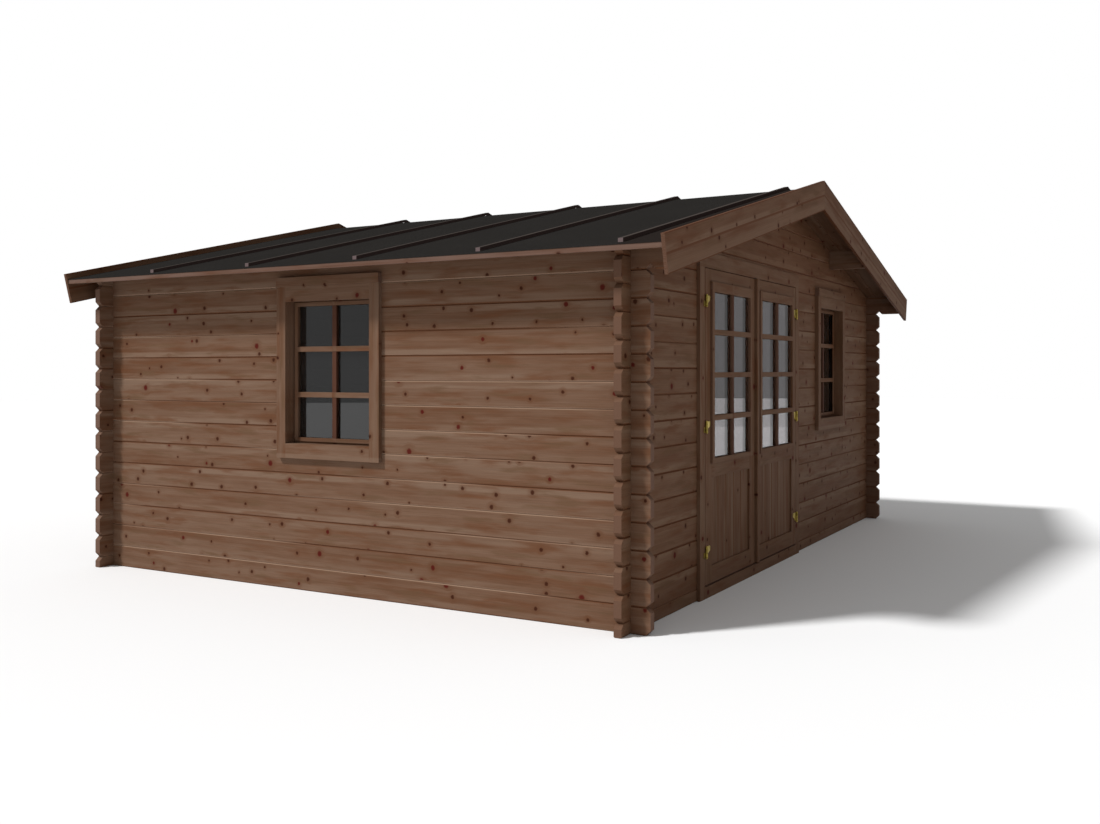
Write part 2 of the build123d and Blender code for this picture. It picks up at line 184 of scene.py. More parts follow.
bpy.ops.object.select_all(action="DESELECT")
bpy.ops.mesh.primitive_circle_add(vertices=studio["floorSides"], radius=studio["floorRadius"], fill_type="NGON",
                                  location=studio["floorMiddle"])
floor = bpy.context.object
floor.name = "studioFloor"
floorFinish, shader, spot = newFinish("paleFloor")
seen = spot.node("ShaderNodeLightPath", {}, {}, "Is Camera Ray")
outward = spot.node("ShaderNodeVectorMath", {"operation": "LENGTH"}, {0: spot}, "Value")
tint(studio["floorTone"], studio["farTone"], (outward > studio["farFrom"]) * (1.0 - seen)).feed(
    shader.inputs["Base Color"])
shader.inputs["Roughness"].default_value = 1.0
shader.inputs["Specular IOR Level"].default_value = 0.0
floor.data.materials.append(floorFinish)

bpy.ops.object.light_add(type="SUN", location=(0, 0, 8))
sun = bpy.context.object
sun.name = "softSun"
sun.rotation_euler = Vector(studio["sunTravel"]).to_track_quat("-Z", "Y").to_euler()
sun.data.energy = studio["sunStrength"]
sun.data.angle = math.radians(studio["sunAngle"])

world = bpy.data.worlds.new("studioSky")
scene.world = world
world.use_nodes = True
world.node_tree.nodes.clear()
worldOut = world.node_tree.nodes.new("ShaderNodeOutputWorld")
seen = Wire(world.node_tree, world.node_tree.nodes.new("ShaderNodeLightPath").outputs["Is Camera Ray"])
even, mirrored, backdrop = [
    seen.node("ShaderNodeBackground", {}, {"Color": (1, 1, 1, 1), "Strength": studio[part]})
    for part in ("skyTone", "mirroredSky", "backdrop")]
sky = seen.node("ShaderNodeMixShader", {}, {0: seen.other("Is Glossy Ray"), 1: even, 2: mirrored})
direct = seen.math("MAXIMUM", seen, seen.other("Is Transmission Ray"))
seen.node("ShaderNodeMixShader", {}, {0: direct, 1: sky, 2: backdrop}).feed(worldOut.inputs["Surface"])
print("floor, sun and sky set")

# stained pine: one mean tone for each use, the rest are shares of it in red, green and blue; the darker, warmer tones
# of the front logs, the front gable, the bargeboards and the joinery are painted shade, copies of the lit log tone for
# the shaded front
woodTones = {"log": (0.146, 0.0810, 0.0505), "shadedFrontLog": (0.131, 0.0675, 0.0385), "shadedGable": (0.122, 0.0560, 0.0290),
             "barge": (0.122, 0.0610, 0.0345), "eave": (0.132, 0.0755, 0.0550), "joinery": (0.131, 0.0685, 0.0395),
             "inner": (0.330, 0.215, 0.125)}
woodShades = {
    "warm": (0.84, 0.74, 0.66), "body": (1.00, 1.00, 1.00), "pale": (1.22, 1.38, 1.50),
    "patch": (0.80, 0.58, 0.42), "olive": (0.80, 0.79, 0.68), "halo": (0.72, 0.53, 0.40),
    "knot": (0.27, 0.12, 0.07), "redKnot": (0.50, 0.07, 0.07),
    # on the next line, the pale joint tone is a painted highlight and the last, dark tone is painted shade
    "joint": (0.80, 0.60, 0.46), "glint": (1.75, 2.05, 2.25), "dimmed": (0.52, 0.38, 0.38),
    "end": (1.00, 1.08, 1.28), "endRing": (0.82, 0.80, 0.84), "notch": (0.30, 0.22, 0.18),
}
knots = {
    "gap": 0.26, "rise": 0.092, "scatter": 0.95, "share": 0.66,
    "small": 0.0064, "large": 0.0068, "redShare": 0.16, "redMore": 0.4,
    "rim": (90, 140, 90), "rimBy": 0.008, "squat": 1.1, "core": (1.35, 0.6), "coreBy": 0.92,
    "halo": 3.6, "haloBy": 0.45, "bend": 0.7,
}
pineGrain = {  # clouds have a scale along, across and into the wood
    "slide": 37.0, "lift": 9.0, "seedSlide": 2.3,
    "sway": (1.2, 5.0, 5.0), "swayBy": 0.014,
    "fine": (3.0, 240.0, 60.0), "fineBy": 0.5, "band": (0.7, 46.0, 18.0), "bandBy": 0.6,
    "wide": (0.6, 8.0, 4.0), "wideBy": 0.9, "blotch": (3.2, 21.0, 4.0), "blotchBy": 0.8,
    "patch": (0.48, 0.72), "patchBy": 0.72, "olive": (0.53, 0.70), "oliveBy": 0.7,
    # shares of painted shade on set-back uprights and at the foot of leaves
    "paleLeast": 0.25, "paleMore": 0.9, "dimBy": 0.9, "footBy": 0.9,
    "sawn": (0.55, 0.85), "endGrain": (0.35, 0.65),
    "rough": 0.62, "roughBand": 0.25, "roughKnot": 0.1, "roughEnd": 0.2, "gloss": 0.06,
    "bump": 0.4, "bumpDepth": 0.0016, "fineHigh": 0.45, "bandHigh": 0.35, "knotLow": 0.25,
}
courses = {  # logs and boards that lie side by side
    "agedBy": 0.22, "strip": (0.8, 10.0, 4.0), "stripWhere": (0.34, 0.52), "stripWidth": (0.030, 0.012),
    "stripInset": 0.12, "stripLeast": 0.16, "stripMore": 0.60,
    "joint": (0.0072, 0.0048), "lit": (0.4, 9.0, 1.0), "litWhere": (0.45, 0.55), "litBy": 0.2,
    "heartUp": 0.06, "heartDeep": 0.07, "ringCloud": (25, 25, 1), "ringCloudBy": 0.012, "ringCount": 1150.0,
    "ringBy": 0.35, "notch": (0.016, 0.003), "notchBy": 0.8,
}


def swing(value, reach):  # moves to both sides of nought
    return (value - 0.5) * reach


def pineFinish(name, cut):  # the cut's grain says how the wood lies: along, across, into it
    finish, shader, spot = newFinish(name)
    mean = [part * cut.get("shade", 1.0) for part in woodTones[cut["tone"]]]
    tone = {key: tuple(a * b for a, b in zip(mean, shade)) + (1,) for key, shade in woodShades.items()}
    facing = spot.other("Normal")
    if "slope" in cut:  # turned so that x runs down the roof
        turn = {"Rotation": (0, math.radians(cut["slope"]), 0)}
        spot = spot.node("ShaderNodeMapping", {}, dict(turn, Vector=spot))
        facing = facing.node("ShaderNodeMapping", {}, dict(turn, Vector=facing))
    axes = dict(zip("xyz", split3(spot)))
    faces = dict(zip("xyz", split3(facing)))
    along, across, deep = (axes[letter] for letter in cut["grain"])
    endwise = abs(faces[cut["grain"][0]])
    if "uprights" in cut:  # boards that stand in a frame, each from edge to edge
        letter, bands, top = cut["uprights"]
        upright = sum((axes[letter] > low) * (axes[letter] < high) for low, high in bands) * (axes["z"] < top)
        along, across = along + upright * (across - along), across + upright * (along - across)
        endwise = endwise + upright * (abs(faces["z"]) - endwise)

    # a single board counts as one course, wider than any
    pitch = cut.get("course", 20.0)
    course = (across - cut.get("start", -10.0)) / pitch
    row = course.math("FLOOR", course)
    share = course - row
    luck = row.node("ShaderNodeTexWhiteNoise", {"noise_dimensions": "1D"}, {"W": row + cut["seed"]})
    luckRed, luckGreen, luckBlue = split3(luck.other("Color"))
    run = along + luck * pineGrain["slide"] + cut["seed"] * pineGrain["seedSlide"]
    level = across + luck * pineGrain["lift"]
    spot = join3(run, level, deep)

    # knots with the grain running round them
    cells = join3(run / knots["gap"], level / knots["rise"], 0.0)
    nearest = cells.node("ShaderNodeTexVoronoi", {"voronoi_dimensions": "2D"},
                         {"Vector": cells, "Scale": 1.0, "Randomness": knots["scatter"]})
    away = split3(cells.node("ShaderNodeVectorMath", {"operation": "SUBTRACT"},
                             {0: cells, 1: nearest.other("Position")}))
    awayRun, awayLevel = away[0] * knots["gap"], away[1] * knots["rise"]
    fateRed, fateGreen, fateBlue = split3(nearest.other("Color"))
    there = fateGreen < cut.get("knotShare", knots["share"])
    red = fateBlue < knots["redShare"]
    girth = (knots["small"] + knots["large"] * fateRed) * (1.0 + red * knots["redMore"])
    wobble = swing(cloud(spot, knots["rim"], 1.0), knots["rimBy"])
    reach = awayRun * awayRun * knots["squat"] + awayLevel * awayLevel
    reach = reach.math("SQRT", reach) + wobble
    core = fade(reach, *(girth * part for part in knots["core"])) * there
    halo = fade(reach, girth * knots["halo"], girth) * there

    sway = swing(cloud(spot, pineGrain["sway"]), pineGrain["swayBy"])
    bent = join3(run, level + sway - awayLevel * halo * knots["bend"], deep)
    fine = cloud(bent, pineGrain["fine"], 3.0, 0.6)
    band = cloud(bent, pineGrain["band"], 2.0)
    wide = cloud(bent, pineGrain["wide"], 2.0)
    blot = cloud(bent, cut.get("blotch", pineGrain["blotch"]), 4.0)
    warmth, drab = split3(blot.other("Color"))[1:]

    age = 0.5 + swing(wide, pineGrain["wideBy"]) + swing(blot, pineGrain["blotchBy"]) + swing(band, pineGrain["bandBy"])
    if "course" in cut:  # paler along one edge of a log, stronger on some
        age = age + swing(luckRed, courses["agedBy"])
        edge = luckGreen.math("ROUND", luckGreen) * (1.0 - 2 * courses["stripInset"]) + courses["stripInset"]
        strip = fade(abs(share - edge) * pitch, *courses["stripWidth"])
        strip = strip * fade(cloud(bent, courses["strip"]), *courses["stripWhere"])
        age = age + strip * (luckBlue * courses["stripMore"] + courses["stripLeast"])
    colour = age.node("ShaderNodeValToRGB", {"stops": [
        (0.0, tone["patch"]), (0.25, tone["warm"]), (0.5, tone["body"]), (1.0, tone["pale"])]}, {"Fac": age})
    colour = tint(colour, tone["patch"], fade(warmth, *pineGrain["patch"]) * pineGrain["patchBy"])
    colour = tint(colour, tone["olive"], fade(drab, *pineGrain["olive"]) * pineGrain["oliveBy"])
    # paler towards the bottom edge: a painted highlight along the foot of the window casings, a paler lower band on the
    # bargeboards
    if "paleBelow" in cut:
        paleShare = pineGrain["paleLeast"] + blot * pineGrain["paleMore"]
        colour = tint(colour, tone["pale"], fade(axes["z"], *cut["paleBelow"]) * paleShare)
    colour = colour.node("ShaderNodeVectorMath", {"operation": "SCALE"},
                         {0: colour, "Scale": 1.0 + swing(fine, pineGrain["fineBy"])})
    colour = tint(colour, tone["halo"], halo * knots["haloBy"])
    colour = tint(colour, tint(tone["knot"], tone["redKnot"], red), core * knots["coreBy"])
    if "dim" in cut:  # painted shade on the upright between two panes, darker than the level bars in front of it
        letter, start, end, behind = cut["dim"]
        held = (axes[letter] > start) * (axes[letter] < end) * (axes[cut["grain"][2]] > behind)
        colour = tint(colour, tone["dimmed"], held * pineGrain["dimBy"])
    if "foot" in cut:  # painted shade along the foot of a leaf, over the gap above the threshold
        colour = tint(colour, tone["notch"], fade(axes["z"], *cut["foot"]) * pineGrain["footBy"])
    if "course" in cut:  # brown joints, with a painted highlight line along them in places
        low, high = share * pitch, (1.0 - share) * pitch
        near = low.math("MINIMUM", low, high)
        lit = fade(cloud(join3(along, across, deep), courses["lit"]), *courses["litWhere"])
        lit = lit * cut.get("lit", courses["litBy"])
        if "corner" in cut:  # past the front wall a log has no painted highlight lines, and may be darkened with painted shade
            start, end, dim = cut["corner"]
            past = fade(along, start, end)
            lit = lit * (1.0 - past)
            colour = tint(colour, tone["dimmed"], past * dim)
        colour = tint(colour, tint(tone["joint"], tone["glint"], lit), fade(near, *courses["joint"]))
    if "mid" in cut:  # rings on the sawn ends, round a heart of its own for each log, and shade in the notches
        offUp = (share - 0.5) * pitch + swing(luckRed, courses["heartUp"])
        offDeep = deep - cut["mid"] + swing(luckGreen, courses["heartDeep"])
        radius = offUp * offUp + offDeep * offDeep
        uneven = swing(cloud(join3(offUp, offDeep, row), courses["ringCloud"], 2.0), courses["ringCloudBy"])
        radius = radius.math("SQRT", radius) + uneven
        rings = radius.math("SINE", radius * courses["ringCount"]) * courses["ringBy"] + courses["ringBy"]
        ends = tint(tone["end"], tone["endRing"], rings)
        ends = tint(ends, tone["notch"], fade(near, *courses["notch"]) * courses["notchBy"])
    else:
        ends = tint(tone["end"], tone["endRing"], fade(fine, *pineGrain["endGrain"]))
    sawn = fade(endwise, *pineGrain["sawn"])
    tint(colour, ends, sawn).feed(shader.inputs["Base Color"])
    rough = pineGrain["rough"] + swing(band, pineGrain["roughBand"])
    (rough + core * pineGrain["roughKnot"] + sawn * pineGrain["roughEnd"]).feed(shader.inputs["Roughness"])
    shader.inputs["Specular IOR Level"].default_value = pineGrain["gloss"]
    height = fine * pineGrain["fineHigh"] + band * pineGrain["bandHigh"] - core * pineGrain["knotLow"]
    height.node("ShaderNodeBump", {}, {"Strength": pineGrain["bump"], "Distance": pineGrain["bumpDepth"],
                                       "Height": height}).feed(shader.inputs["Normal"])
    return finish


logPitch = 0.143
# lit sets how much painted highlight the joint lines get; corner darkens the right logs past the front wall with
# painted shade
logCuts = {
    "leftLogs": dict(tone="log", grain="yzx", start=0.0, mid=-2.498, seed=11.0, lit=0.9, corner=(-1.86, -1.92, 0.0)),
    "rightLogs": dict(tone="log", grain="yzx", start=0.0, mid=2.498, seed=43.0, lit=0.9, corner=(-1.86, -1.92, 0.3)),
    "frontLogs": dict(tone="shadedFrontLog", grain="xzy", start=logPitch / 2, mid=-1.893, seed=71.0),
    "gableLogs": dict(tone="shadedGable", grain="xzy", start=logPitch / 2, mid=-1.893, seed=71.0),
    "backLogs": dict(tone="log", grain="xzy", start=logPitch / 2, mid=2.063, seed=97.0, lit=0.6),
}
logFinish = {name: pineFinish(name, dict(cut, course=logPitch)) for name, cut in logCuts.items()}
dress(logFinish["leftLogs"], "left_wall_logs")
dress(logFinish["rightLogs"], "right_wall_logs")
dress(logFinish["frontLogs"], "front_wall_left_logs", "front_wall_right_logs")
dress(logFinish["gableLogs"], "front_gable_logs")
dress(logFinish["backLogs"], "back_wall_logs", "back_gable_logs")
print("log walls finished")

roofSlope = 13.65
boardCuts = {
    "uprightBoards": dict(grain="zxy", seed=5.0, knotShare=0.4),
    "levelBoards": dict(grain="xzy", seed=7.0, knotShare=0.4),
    # leaves are darkened at their foot with painted shade, over the gap above the threshold
    "leafUprights": dict(grain="zxy", seed=5.0, knotShare=0.4, foot=(0.0830, 0.0805)),
    "leafLevels": dict(grain="xzy", seed=7.0, knotShare=0.4, foot=(0.0830, 0.0805)),
    "leftSlopeBoards": dict(grain="xzy", tone="barge", slope=roofSlope, course=0.1, start=2.4, seed=13.0, lit=0.0,
                            knotShare=0.5, blotch=(2.6, 13.0, 4.0), paleBelow=(2.475, 2.435)),
    "rightSlopeBoards": dict(grain="xzy", tone="barge", slope=-roofSlope, course=0.1, start=2.4, seed=17.0, lit=0.0,
                             shade=0.92, knotShare=0.5, blotch=(2.6, 13.0, 4.0), paleBelow=(2.475, 2.435)),
    "eaveBoards": dict(grain="yzx", tone="eave", seed=19.0, knotShare=0.2),
    "purlinWood": dict(grain="yzx", tone="log", seed=21.0),
    "bearerWood": dict(grain="xzy", tone="inner", seed=23.0),
}
windowCuts = {  # half widths from the middle of a window
    "boardHalf": 0.3274, "sashHalf": 0.2932, "barHalf": 0.0161, "capFoot": {"front": 1.9305, "side": 1.859},
    "paleFrom": 0.034, "paleTo": 0.020, "barDeep": 0.009,
}
aboveAll = 9.0  # higher than any board reaches
for side, grain, tone, seed in (("front", "xzy", "joinery", 29.0), ("side", "yzx", "log", 37.0)):
    low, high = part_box(side + "_window_casing")
    letter = grain[0]
    middle = (getattr(low, letter) + getattr(high, letter)) / 2
    boards, sash, bar = (windowCuts[key] for key in ("boardHalf", "sashHalf", "barHalf"))
    casing = [(middle - 1, middle - boards), (middle + boards, middle + 1)]
    stiles = [(middle - 1, middle - sash), (middle - bar, middle + bar), (middle + sash, middle + 1)]
    sashFront = getattr(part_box(side + "_window_sash")[0], grain[2])
    # the casing boards get a painted highlight along their foot
    boardCuts[side + "WindowBoards"] = dict(
        grain=grain, tone=tone, shade=0.98, seed=seed, knotShare=0.4,
        uprights=(letter, casing, windowCuts["capFoot"][side]),
        paleBelow=(low.z + windowCuts["paleFrom"], low.z + windowCuts["paleTo"]))
    # the middle upright of the sash is darkened with painted shade
    boardCuts[side + "WindowSash"] = dict(
        grain=grain, tone=tone, seed=seed + 2.0, knotShare=0.2, uprights=(letter, stiles, aboveAll),
        dim=(letter, middle - bar, middle + bar, sashFront - windowCuts["barDeep"]))
boardFinish = {name: pineFinish(name, dict({"tone": "joinery"}, **cut)) for name, cut in boardCuts.items()}
dress(boardFinish["uprightBoards"], "door_left_jamb", "door_right_jamb")
dress(boardFinish["levelBoards"], "door_head", "door_threshold")
dress(boardFinish["leafUprights"], "left_door_stiles", "right_door_stiles", "right_door_cover_strip")
dress(boardFinish["leafLevels"], "left_door_rails", "right_door_rails")
dress(boardFinish["leftSlopeBoards"], "front_left_bargeboard", "back_left_bargeboard")
dress(boardFinish["rightSlopeBoards"], "front_right_bargeboard", "back_right_bargeboard")
dress(boardFinish["eaveBoards"], "left_eave_strip", "right_eave_strip")
dress(boardFinish["purlinWood"], "roof_purlins")
dress(boardFinish["bearerWood"], "floor_bearers")
for side in ("front", "side"):
    dress(boardFinish[side + "WindowBoards"], side + "_window_casing", side + "_window_lining")
    dress(boardFinish[side + "WindowSash"], side + "_window_sash")
print("boards finished")

# roof felt, browner along its front edge
feltLook = {
    "tone": (0.0165, 0.0152, 0.0141, 1), "grit": (0.044, 0.041, 0.038, 1), "verge": (0.019, 0.0135, 0.0115, 1),
    "rough": 0.95, "gritScale": (620, 620, 620), "gritWhere": (0.50, 0.72), "patchScale": (2.2, 2.2, 2.2),
    "gritLeast": 0.25, "gritMore": 0.9, "vergeWhere": (-1.948, -1.958), "vergeBy": 0.6,
    "bump": 0.5, "bumpDepth": 0.0012,
}


def gritty(shader, grit, look):  # rough all over, with no shine
    shader.inputs["Roughness"].default_value = feltLook["rough"]
    shader.inputs["Specular IOR Level"].default_value = 0.0
    grit.node("ShaderNodeBump", {}, {"Strength": look["bump"], "Distance": look["bumpDepth"], "Height": grit}).feed(
        shader.inputs["Normal"])


feltFinish, shader, spot = newFinish("mineralFelt")
grit = cloud(spot, feltLook["gritScale"], 1.0)
patchy = feltLook["gritLeast"] + cloud(spot, feltLook["patchScale"], 3.0) * feltLook["gritMore"]
verge = fade(split3(spot)[1], *feltLook["vergeWhere"]) * feltLook["vergeBy"]
colour = tint(feltLook["tone"], feltLook["grit"], fade(grit, *feltLook["gritWhere"]) * patchy)
tint(colour, feltLook["verge"], verge).feed(shader.inputs["Base Color"])
gritty(shader, grit, feltLook)
dress(feltFinish, "roof_felt")

# battens wrapped in felt, bare wood at their ends
battenLook = {
    "side": (0.052, 0.034, 0.031, 1), "top": (0.058, 0.048, 0.043, 1), "grit": (0.092, 0.078, 0.070, 1),
    "end": (0.190, 0.140, 0.140, 1), "topWhere": (0.5, 0.9), "endWhere": (0.6, 0.9), "endLeast": 0.6, "endMore": 0.4,
    "gritScale": (480, 480, 480), "gritWhere": (0.55, 0.75), "gritBy": 0.5, "bump": 0.4, "bumpDepth": 0.001,
}
for side, slope in (("left", roofSlope), ("right", -roofSlope)):
    battenFinish, shader, spot = newFinish(side + "FeltedBatten")
    turned = {"Rotation": (0, math.radians(slope), 0), "Vector": spot.other("Normal")}
    facing = split3(spot.node("ShaderNodeMapping", {}, turned))
    grit = cloud(spot, battenLook["gritScale"], 1.0)
    bare = fade(abs(facing[0]), *battenLook["endWhere"]) * (battenLook["endLeast"] + grit * battenLook["endMore"])
    colour = tint(battenLook["side"], battenLook["top"], fade(facing[2], *battenLook["topWhere"]))
    colour = tint(colour, battenLook["grit"], fade(grit, *battenLook["gritWhere"]) * battenLook["gritBy"])
    tint(colour, battenLook["end"], bare).feed(shader.inputs["Base Color"])
    gritty(shader, grit, battenLook)
    dress(battenFinish, side + "_roof_battens")

# polished brass for the flags and tips; the darker brass is painted shade for the knuckles and pins, where the barrels
# mirror dark wood
brassLooks = {
    "polishedBrass": {"bright": (0.68, 0.54, 0.16, 1), "dull": (0.46, 0.35, 0.09, 1), "rough": 0.26},
    "paintedShadeBrass": {"bright": (0.38, 0.29, 0.07, 1), "dull": (0.20, 0.15, 0.035, 1), "rough": 0.36},
}
tarnishing = {"scale": (60, 60, 60), "where": (0.40, 0.66), "rougher": 0.25}
brassFinish = {}
for name, look in brassLooks.items():
    brassFinish[name], shader, spot = newFinish(name)
    tarnish = cloud(spot, tarnishing["scale"], 3.0)
    tint(look["bright"], look["dull"], fade(tarnish, *tarnishing["where"])).feed(shader.inputs["Base Color"])
    (look["rough"] + tarnish * tarnishing["rougher"]).feed(shader.inputs["Roughness"])
    shader.inputs["Metallic"].default_value = 1.0
# the knuckles and pins take the darker brass: painted shade
dress(brassFinish["paintedShadeBrass"], "left_door_hinge_knuckles", "right_door_hinge_knuckles", "left_door_hinge_pins",
      "right_door_hinge_pins")

glassLooks = {  # the doors have two panes, one behind the other
    "windowPane": {"tint": (0.28, 0.28, 0.28, 1), "index": 1.57, "bothFaces": True, "dust": 0.011},
    "outerPane": {"tint": (0.95, 0.93, 0.94, 1), "index": 1.80, "bothFaces": False, "dust": 0.004},
    "innerPane": {"tint": (0.28, 0.28, 0.28, 1), "index": 1.80, "bothFaces": True, "dust": 0.0},
}
glassFinish = {}
for name, look in glassLooks.items():
    glassFinish[name], shader, spot = newFinish(name)
    tree = glassFinish[name].node_tree
    clear = spot.node("ShaderNodeBsdfTransparent", {}, {"Color": look["tint"]})
    mirror = spot.node("ShaderNodeBsdfGlossy", {}, {"Roughness": 0.0})
    bounce = spot.node("ShaderNodeFresnel", {}, {"IOR": look["index"]})
    if look["bothFaces"]:  # front and back of a pane mirror together
        bounce = bounce * 2.0 / (1.0 + bounce)
    front = 1.0 - spot.node("ShaderNodeNewGeometry", {}, {}, "Backfacing")
    film = spot.node("ShaderNodeBsdfDiffuse", {}, {"Color": (0.8, 0.8, 0.8, 1)})
    dusty = spot.node("ShaderNodeMixShader", {}, {0: front * look["dust"], 1: clear, 2: film})
    tree.nodes.remove(shader)
    spot.node("ShaderNodeMixShader", {}, {0: bounce * front, 1: dusty, 2: mirror}).feed(
        tree.nodes["Material Output"].inputs["Surface"])
dress(glassFinish["windowPane"], "front_window_glass", "side_window_glass")
dress(glassFinish["outerPane"], "left_door_glass", "right_door_glass")
print("felt, brass and glass finished")


def calm():
    if bpy.context.object and bpy.context.object.mode != "OBJECT":
        bpy.ops.object.mode_set(mode="OBJECT")
    bpy.ops.object.select_all(action="DESELECT")


def hold(piece):  # selects one piece only
    calm()
    piece.select_set(True)
    bpy.context.view_layer.objects.active = piece


def pick(piece, kind, wanted):  # leaves edit mode on, with what passes selected
    hold(piece)
    bpy.ops.object.mode_set(mode="EDIT")
    bpy.ops.mesh.select_mode(type=kind)
    bpy.ops.mesh.select_all(action="DESELECT")
    bpy.ops.object.mode_set(mode="OBJECT")
    points = piece.data.vertices
    if kind == "VERT":
        for point in points:
            point.select = wanted(point.co)
    elif kind == "EDGE":
        for edge in piece.data.edges:
            first, second = (points[index].co for index in edge.vertices)
            edge.select = wanted((first + second) / 2, (second - first).normalized())
    else:
        for face in piece.data.polygons:
            face.select = wanted(face.center)
    bpy.ops.object.mode_set(mode="EDIT")


def settle(piece):  # its place, turn and size go into the mesh
    hold(piece)
    bpy.ops.object.transform_apply(location=True, rotation=True, scale=True)


def outwards(piece):  # faces point outwards again
    hold(piece)
    bpy.ops.object.mode_set(mode="EDIT")
    bpy.ops.mesh.select_all(action="SELECT")
    bpy.ops.mesh.normals_make_consistent(inside=False)
    bpy.ops.object.mode_set(mode="OBJECT")


def finishWith(piece, kind, **settings):  # a modifier, applied
    hold(piece)
    made = piece.modifiers.new(kind.lower(), kind)
    for key, value in settings.items():
        setattr(made, key, value)
    bpy.ops.object.modifier_apply(modifier=made.name)


def ease(piece, width, steps=2, turn=40):  # planes off the edges that turn by more than this angle
    finishWith(piece, "BEVEL", width=width, segments=steps, limit_method="ANGLE", angle_limit=math.radians(turn))


def repeat(piece, count, step):
    finishWith(piece, "ARRAY", count=count, use_relative_offset=False, use_constant_offset=True,
               constant_offset_displace=step)


def called(name):  # names what was just added
    piece = bpy.context.object
    piece.name = piece.data.name = name
    return piece


def block(name, low, high):  # a sawn block from corner to corner
    calm()
    bpy.ops.mesh.primitive_cube_add(size=1, location=[(a + b) / 2 for a, b in zip(low, high)])
    piece = called(name)
    piece.scale = [b - a for a, b in zip(low, high)]
    settle(piece)
    return piece


def weldTogether(name, pieces):  # several pieces become one
    calm()
    for piece in pieces:
        piece.select_set(True)
    bpy.context.view_layer.objects.active = pieces[0]
    bpy.ops.object.join()
    return called(name)


def install(piece, finish, slot, body, *stoodFor):
    piece.data.materials.clear()
    piece.data.materials.append(finish)
    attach(piece, body)
    if stoodFor:
        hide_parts(*stoodFor)


def facingPlane(name, low, high, front):  # a flat rectangle facing -Y
    calm()
    bpy.ops.mesh.primitive_plane_add(size=1, location=((low[0] + high[0]) / 2, front, (low[1] + high[1]) / 2),
                                     rotation=(math.pi / 2, 0, 0))
    piece = called(name)
    piece.scale = (high[0] - low[0], high[1] - low[1], 1)
    settle(piece)
    return piece


def lattice(name, across, up, front, depth, easing):  # bars round panes, facing -Y
    piece = facingPlane(name, (across[0], up[0]), (across[-1], up[-1]), front)
    bpy.ops.object.mode_set(mode="EDIT")
    for cut in across[1:-1]:
        bpy.ops.mesh.select_all(action="SELECT")
        bpy.ops.mesh.bisect(plane_co=(cut, 0, 0), plane_no=(1, 0, 0))
    for cut in up[1:-1]:
        bpy.ops.mesh.select_all(action="SELECT")
        bpy.ops.mesh.bisect(plane_co=(0, 0, cut), plane_no=(0, 0, 1))

    def isPane(middle):
        return (sum(middle.x > cut for cut in across) % 2 == 0) and (sum(middle.z > cut for cut in up) % 2 == 0)
    pick(piece, "FACE", isPane)
    bpy.ops.mesh.delete(type="FACE")
    bpy.ops.object.mode_set(mode="OBJECT")
    finishWith(piece, "SOLIDIFY", thickness=depth, offset=-1.0)
    ease(piece, easing)
    return piece


def cutsFor(low, high, count, bar):  # edges of the panes between bars of one width
    size = (high - low - (count - 1) * bar) / count
    return [edge for index in range(count) for edge in (low + index * (size + bar), low + index * (size + bar) + size)]


